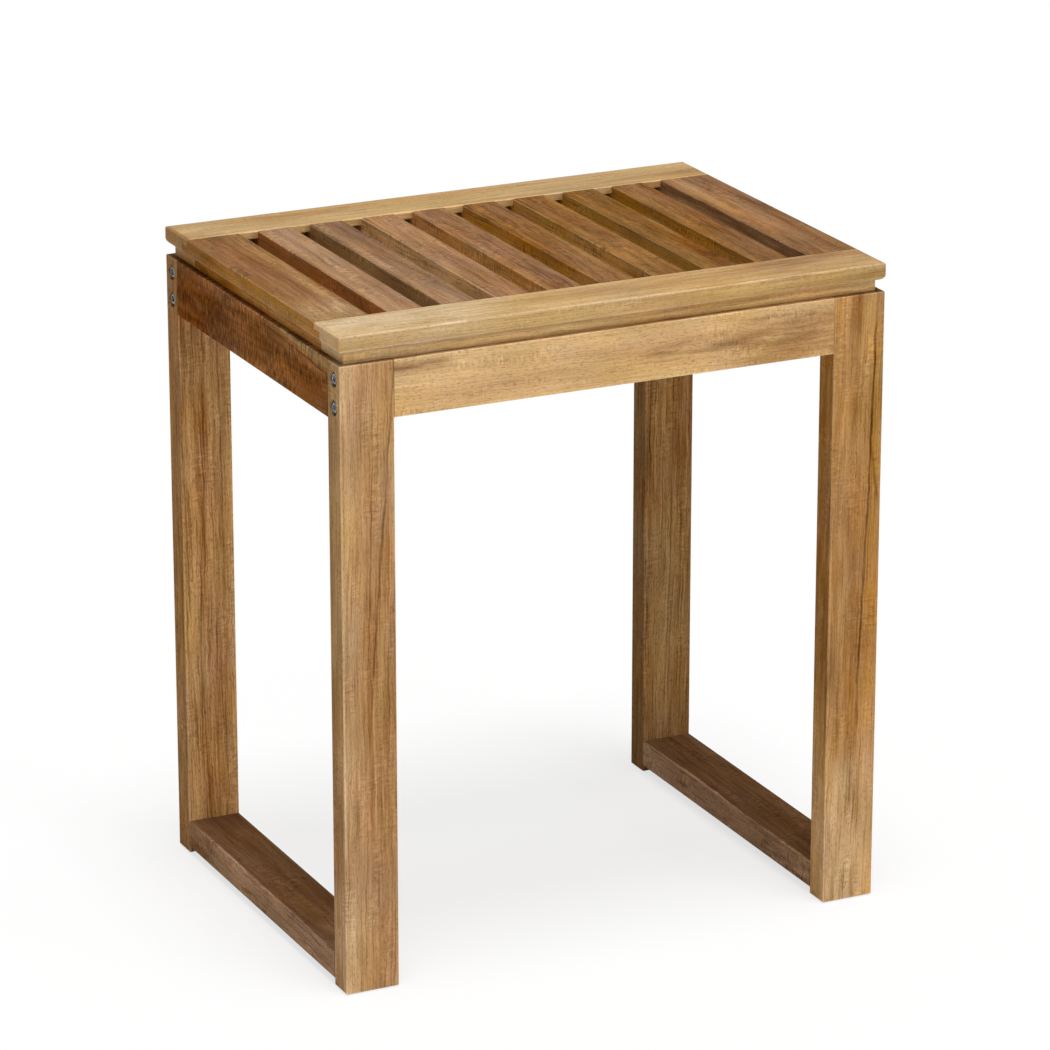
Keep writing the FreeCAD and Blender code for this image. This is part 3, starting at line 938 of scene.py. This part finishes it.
class STOOL_OT_stretchers(bpy.types.Operator):
    """Dark acacia on the stretchers near the floor"""

    bl_idname = "stool.stretchers"
    bl_label = "Finish stretchers"

    def execute(self, context):
        # The rounded edges are a little darker: painted shade.
        matt_with_painted_edge_shade = Finish(
            fibres=1.1, lines=0.4, pores=0.45, ripple=0.2, patches=0.22, edges=0.92, roughness=0.7,
            shine=0.004,
        )
        finish_boards(context, STRETCHERS, "stretcher", matt_with_painted_edge_shade)
        return {"FINISHED"}


class STOOL_OT_seat_rails(bpy.types.Operator):
    """Pale acacia on the two grooved rails of the seat"""

    bl_idname = "stool.seat_rails"
    bl_label = "Finish seat rails"

    def execute(self, context):
        satin = Finish(veins=0.85, fibres=0.75, ripple=0.07, end_grain=1, roughness=0.5, shine=0.15)
        finish_boards(context, SEAT_RAILS, "rail", satin)
        return {"FINISHED"}


class STOOL_OT_slats(bpy.types.Operator):
    """Brown acacia on the slats of the seat, worn a little smoother than the rest"""

    bl_idname = "stool.slats"
    bl_label = "Finish slats"

    def execute(self, context):
        worn_smooth = Finish(
            veins=0.85, fibres=1.05, lines=0.36, pores=0.42, ripple=0.22, patches=0.22, edges=1.08,
            roughness=0.5, shine=0.012,
        )
        finish_boards(context, EDGE_SLATS, "slat", worn_smooth)
        finish_boards(context, SEAT_SLATS, "slat", worn_smooth)
        return {"FINISHED"}


class STOOL_OT_dowels(bpy.types.Operator):
    """Raw beech on the dowels"""

    bl_idname = "stool.dowels"
    bl_label = "Finish dowels"

    def execute(self, context):
        beech = turned_beech()
        for node in ("side_apron_dowels", "stretcher_dowels"):
            dress(node, beech)
        return {"FINISHED"}


class STOOL_OT_fasteners(bpy.types.Operator):
    """Zinc plated steel on the bolts, barrel nuts and screws"""

    bl_idname = "stool.fasteners"
    bl_label = "Finish fasteners"

    def execute(self, context):
        # The bolts get painted shade and dark reflection on the rims of their heads.
        dress("frame_bolts", zinc_plated_steel("shade_rimmed_zinc_plated_steel", with_painted_shade_rims=True))
        zinc = zinc_plated_steel("bright_zinc_plated_steel")
        for node in ("barrel_nuts", "seat_screws"):
            dress(node, zinc)
        return {"FINISHED"}


class STOOL_OT_studio(bpy.types.Operator):
    """Pale floor, white surroundings, two soft lights and the camera"""

    bl_idname = "stool.studio"
    bl_label = "Set the studio"

    def execute(self, context):
        studio = context.scene.stool_studio
        lay_floor(studio)
        light_surroundings(studio)
        hang_softbox("key_softbox", studio.key_light, turn=30, rise=6, width=40)
        hang_softbox("top_softbox", studio.top_light, turn=0, rise=82, width=25)
        place_camera(studio)
        context.scene.view_settings.view_transform = "Standard"
        return {"FINISHED"}


class STOOL_PT_finish(bpy.types.Panel):
    """Steps and settings of the stool's finish"""

    bl_idname = "STOOL_PT_finish"
    bl_label = "Bath stool"
    bl_space_type = "VIEW_3D"
    bl_region_type = "UI"
    bl_category = "Stool"

    def draw(self, context):
        steps = self.layout.column()
        for operator in OPERATORS:
            steps.operator(operator.bl_idname)
        for name in SETTINGS:
            settings = getattr(context.scene, name)
            box = self.layout.box()
            for setting in settings.bl_rna.properties:
                if setting.identifier not in ("rna_type", "name"):
                    box.prop(settings, setting.identifier)


SETTINGS = {"stool_colours": AcaciaColours, "stool_figure": AcaciaFigure, "stool_studio": Studio}
OPERATORS = (
    STOOL_OT_legs,
    STOOL_OT_long_aprons,
    STOOL_OT_side_aprons,
    STOOL_OT_stretchers,
    STOOL_OT_seat_rails,
    STOOL_OT_slats,
    STOOL_OT_dowels,
    STOOL_OT_fasteners,
    STOOL_OT_studio,
)


def register():
    """Adds the settings, the operators and the panel."""
    for name, group in SETTINGS.items():
        bpy.utils.register_class(group)
        setattr(bpy.types.Scene, name, bpy.props.PointerProperty(type=group))
    for operator in OPERATORS:
        bpy.utils.register_class(operator)
    bpy.utils.register_class(STOOL_PT_finish)


def unregister():
    """Takes out what register added."""
    bpy.utils.unregister_class(STOOL_PT_finish)
    for operator in reversed(OPERATORS):
        bpy.utils.unregister_class(operator)
    for name, group in SETTINGS.items():
        delattr(bpy.types.Scene, name)
        bpy.utils.unregister_class(group)


def main():
    """Finishes the stool and sets the studio."""
    register()
    bpy.ops.stool.legs()
    bpy.ops.stool.long_aprons()
    bpy.ops.stool.side_aprons()
    bpy.ops.stool.stretchers()
    bpy.ops.stool.seat_rails()
    bpy.ops.stool.slats()
    bpy.ops.stool.dowels()
    bpy.ops.stool.fasteners()
    bpy.ops.stool.studio()


if __name__ == "__main__":
    main()
